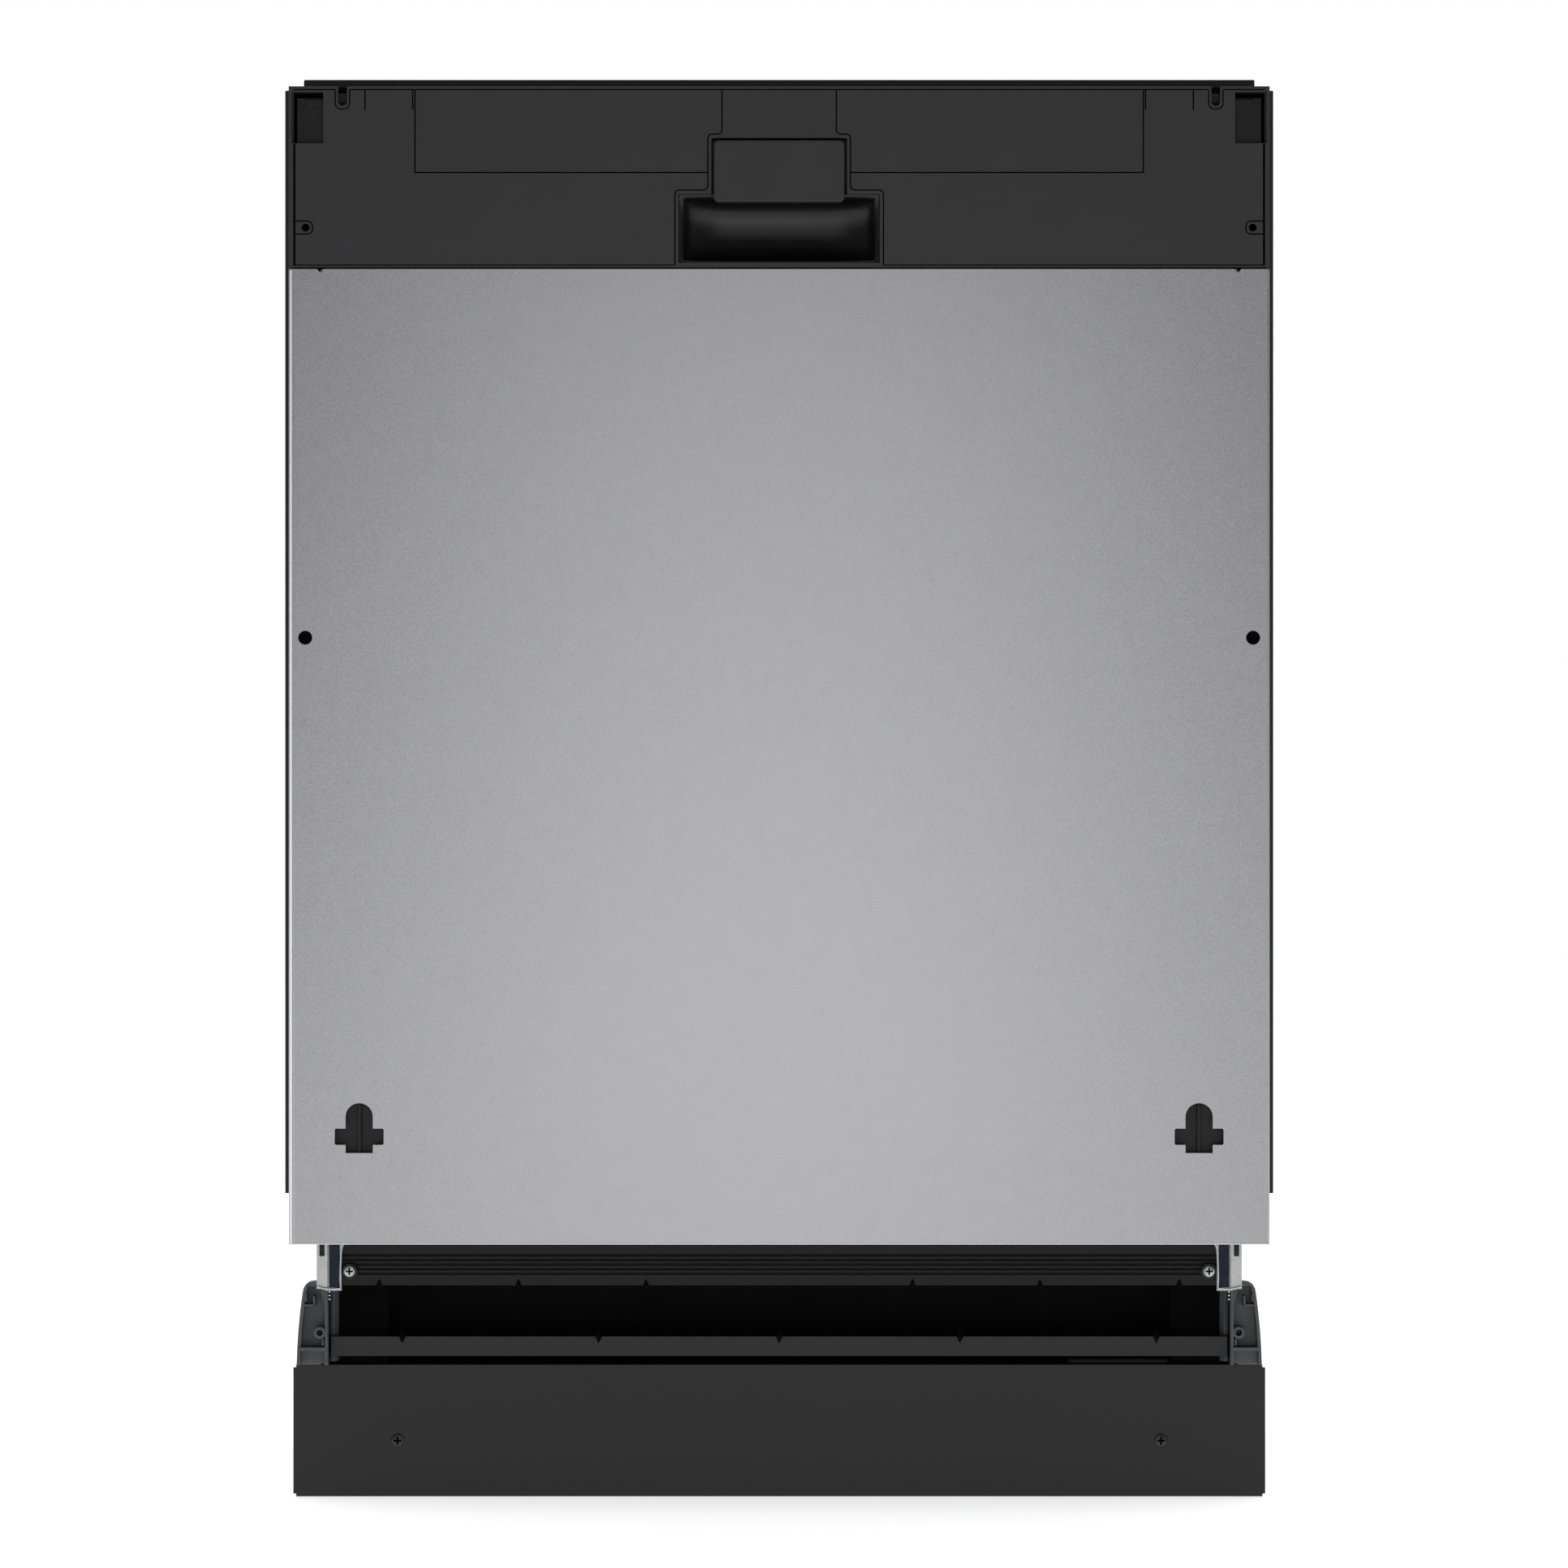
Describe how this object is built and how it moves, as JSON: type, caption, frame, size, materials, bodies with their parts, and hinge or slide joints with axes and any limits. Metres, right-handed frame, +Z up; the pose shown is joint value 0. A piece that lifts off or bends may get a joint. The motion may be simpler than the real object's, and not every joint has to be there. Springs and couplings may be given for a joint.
{
  "type": "built in dishwasher",
  "caption": "Panel-ready built-in dishwasher with a tilting steel door, black control console, wire racks, spray arms and a height-adjustable plinth base.",
  "frame": {"origin": "on the floor, under the middle of the machine", "axes": "+X is the viewer right, +Y runs to the rear, +Z is up; the door faces -Y"},
  "size_m": [0.598, 0.55, 0.865],
  "materials": {
    "stainless": "fine grained brushed stainless",
    "galvanised": "galvanised steel",
    "console_black": "fine textured black moulding",
    "gloss_black": "polished black",
    "painted_black": "black powder coat",
    "leg_grey": "dark grey moulding",
    "base_black": "black moulding",
    "rack_grey": "grey nylon coated wire",
    "arm_grey": "grey moulding",
    "basket_grey": "grey moulding",
    "seal_rubber": "black elastomer",
    "felt": "grey felt",
    "moulded_white": "translucent white moulding",
    "pump_plastic": "dark moulding",
    "spring_steel": "bright spring wire"
  },
  "bodies": {
    "cabinet": {"base_tray": "base_black", "kick_plate": "painted_black", "front_beam": "painted_black", "corner_leg_left": "leg_grey", "corner_leg_right": "leg_grey", "hinge_bracket_left": "galvanised", "hinge_bracket_right": "galvanised", "side_trim_left": "painted_black", "side_trim_right": "painted_black", "top_trim": "painted_black", "tub_wrap": "stainless", "tub_back": "stainless", "tub_floor": "stainless", "insulation_mat": "felt", "door_seal": "seal_rubber", "latch_striker": "galvanised", "sump": "pump_plastic", "fine_filter_plate": "stainless", "circulation_pump": "pump_plastic", "drain_pump": "pump_plastic", "feed_tube": "arm_grey", "top_spray_head": "arm_grey", "water_inlet_chamber": "moulded_white", "inlet_valve": "moulded_white", "terminal_box": "pump_plastic", "rack_rail_left": "stainless", "rack_rail_right": "stainless"},
    "door": {"door_outer_panel": "stainless", "door_inner_liner": "stainless", "control_console": "console_black", "control_strip": "gloss_black", "hinge_arm_left": "galvanised", "hinge_arm_right": "galvanised", "door_latch": "pump_plastic", "dispenser_body": "arm_grey"},
    "grip_flap": {"grip_flap": "console_black"},
    "dispenser_lid": {"dispenser_lid": "arm_grey"},
    "rinse_aid_cap": {"rinse_aid_cap": "arm_grey"},
    "lower_rack": {"lower_rack": "rack_grey", "silverware_basket": "basket_grey"},
    "upper_rack": {"upper_rack": "rack_grey"},
    "cutlery_tray": {"cutlery_tray": "basket_grey"},
    "lower_spray_arm": {"lower_spray_arm": "arm_grey"},
    "upper_spray_arm": {"upper_spray_arm": "arm_grey"},
    "filter": {"filter_cylinder": "arm_grey"},
    "foot_front_left": {"foot_front_left": "base_black"},
    "foot_front_right": {"foot_front_right": "base_black"},
    "foot_rear": {"foot_rear": "base_black"},
    "rear_foot_rod": {"rear_foot_rod": "galvanised"},
    "door_spring_left": {"door_spring_left": "spring_steel"},
    "door_spring_right": {"door_spring_right": "spring_steel"},
    "rack_wheel_front_left": {"rack_wheel_front_left": "arm_grey"},
    "rack_wheel_front_right": {"rack_wheel_front_right": "arm_grey"},
    "rack_wheel_rear_left": {"rack_wheel_rear_left": "arm_grey"},
    "rack_wheel_rear_right": {"rack_wheel_rear_right": "arm_grey"},
    "power_button": {"power_button": "console_black"},
    "programme_button_1": {"programme_button_1": "console_black"},
    "programme_button_2": {"programme_button_2": "console_black"},
    "programme_button_3": {"programme_button_3": "console_black"},
    "start_button": {"start_button": "console_black"}
  },
  "joints": [
    {"name": "door_hinge", "type": "hinge", "parent": "cabinet", "child": "door", "pos_m": [0, -0.235, 0.18], "axis": [1, 0, 0], "range_deg": [0, 90]},
    {"name": "lower_rack_slide", "type": "slide", "parent": "cabinet", "child": "lower_rack", "axis": [0, -1, 0], "range_m": [0, 0.1705]},
    {"name": "upper_rack_slide", "type": "slide", "parent": "cabinet", "child": "upper_rack", "axis": [0, -1, 0], "range_m": [0, 0.394]},
    {"name": "cutlery_tray_slide", "type": "slide", "parent": "cabinet", "child": "cutlery_tray", "axis": [0, -1, 0], "range_m": [0, 0.394]},
    {"name": "door_spring_left_stretch", "type": "slide", "parent": "cabinet", "child": "door_spring_left", "axis": [0, -0.5401, 0.8416], "range_m": [0, 0.0801], "deforming": ["door_spring_left"]},
    {"name": "door_spring_right_stretch", "type": "slide", "parent": "cabinet", "child": "door_spring_right", "axis": [0, -0.5401, 0.8416], "range_m": [0, 0.0801], "deforming": ["door_spring_right"]},
    {"name": "rack_wheel_front_left_roll", "type": "hinge", "parent": "lower_rack", "child": "rack_wheel_front_left", "pos_m": [-0.259, -0.04, 0.2083], "axis": [1, 0, 0], "range_deg": [0, 573]},
    {"name": "rack_wheel_front_right_roll", "type": "hinge", "parent": "lower_rack", "child": "rack_wheel_front_right", "pos_m": [0.259, -0.04, 0.2083], "axis": [1, 0, 0], "range_deg": [0, 573]},
    {"name": "rack_wheel_rear_left_roll", "type": "hinge", "parent": "lower_rack", "child": "rack_wheel_rear_left", "pos_m": [-0.259, 0.19, 0.2083], "axis": [1, 0, 0], "range_deg": [0, 573]},
    {"name": "rack_wheel_rear_right_roll", "type": "hinge", "parent": "lower_rack", "child": "rack_wheel_rear_right", "pos_m": [0.259, 0.19, 0.2083], "axis": [1, 0, 0], "range_deg": [0, 573]},
    {"name": "lower_spray_arm_spin", "type": "hinge", "parent": "cabinet", "child": "lower_spray_arm", "pos_m": [0, 0.027, 0.2], "axis": [0, 0, 1], "continuous": true},
    {"name": "upper_spray_arm_spin", "type": "hinge", "parent": "upper_rack", "child": "upper_spray_arm", "pos_m": [0, 0.027, 0.54], "axis": [0, 0, 1], "continuous": true},
    {"name": "filter_twist", "type": "hinge", "parent": "cabinet", "child": "filter", "pos_m": [0.06, -0.02, 0.17], "axis": [0, 0, -1], "range_deg": [0, 90]},
    {"name": "grip_flap_pull", "type": "hinge", "parent": "door", "child": "grip_flap", "pos_m": [0, -0.269, 0.818], "axis": [-1, 0, 0], "range_deg": [0, 12], "stiffness_Nm_per_rad": 0.6, "springref_deg": -8.59},
    {"name": "dispenser_lid_slide", "type": "slide", "parent": "door", "child": "dispenser_lid", "axis": [0, 0, 1], "range_m": [0, 0.07]},
    {"name": "rinse_aid_cap_flip", "type": "hinge", "parent": "door", "child": "rinse_aid_cap", "pos_m": [0.0435, -0.2175, 0.51], "axis": [0, 0, -1], "range_deg": [0, 110]},
    {"name": "foot_front_left_screw", "type": "slide", "parent": "cabinet", "child": "foot_front_left", "axis": [0, 0, -1], "range_m": [0, 0.05]},
    {"name": "foot_front_right_screw", "type": "slide", "parent": "cabinet", "child": "foot_front_right", "axis": [0, 0, -1], "range_m": [0, 0.05]},
    {"name": "rear_foot_rod_turn", "type": "hinge", "parent": "cabinet", "child": "rear_foot_rod", "pos_m": [0, 0, 0.026], "axis": [0, 1, 0], "range_deg": [0, 7200]},
    {"name": "foot_rear_screw", "type": "slide", "parent": "cabinet", "child": "foot_rear", "axis": [0, 0, -1], "range_m": [0, 0.0505]},
    {"name": "power_button_press", "type": "slide", "parent": "door", "child": "power_button", "axis": [0, 0, -1], "range_m": [0, 0.001], "stiffness_N_per_m": 600, "springref_m": -0.001},
    {"name": "programme_button_1_press", "type": "slide", "parent": "door", "child": "programme_button_1", "axis": [0, 0, -1], "range_m": [0, 0.001], "stiffness_N_per_m": 600, "springref_m": -0.001},
    {"name": "programme_button_2_press", "type": "slide", "parent": "door", "child": "programme_button_2", "axis": [0, 0, -1], "range_m": [0, 0.001], "stiffness_N_per_m": 600, "springref_m": -0.001},
    {"name": "programme_button_3_press", "type": "slide", "parent": "door", "child": "programme_button_3", "axis": [0, 0, -1], "range_m": [0, 0.001], "stiffness_N_per_m": 600, "springref_m": -0.001},
    {"name": "start_button_press", "type": "slide", "parent": "door", "child": "start_button", "axis": [0, 0, -1], "range_m": [0, 0.001], "stiffness_N_per_m": 600, "springref_m": -0.001}
  ],
  "couplings": [
    {"joint": "lower_rack_slide", "follows": "door_hinge", "m_per_rad": 0.108},
    {"joint": "upper_rack_slide", "follows": "door_hinge", "m_per_rad": 0.25},
    {"joint": "cutlery_tray_slide", "follows": "door_hinge", "m_per_rad": 0.25},
    {"joint": "door_spring_left_stretch", "follows": "door_hinge", "m_per_rad": 0.05068},
    {"joint": "door_spring_right_stretch", "follows": "door_hinge", "m_per_rad": 0.05068},
    {"joint": "rack_wheel_front_left_roll", "follows": "door_hinge", "ratio": 6.3529},
    {"joint": "rack_wheel_front_right_roll", "follows": "door_hinge", "ratio": 6.3529},
    {"joint": "rack_wheel_rear_left_roll", "follows": "door_hinge", "ratio": 6.3529},
    {"joint": "rack_wheel_rear_right_roll", "follows": "door_hinge", "ratio": 6.3529},
    {"joint": "foot_rear_screw", "follows": "rear_foot_rod_turn", "m_per_rad": 0.0004}
  ]
}
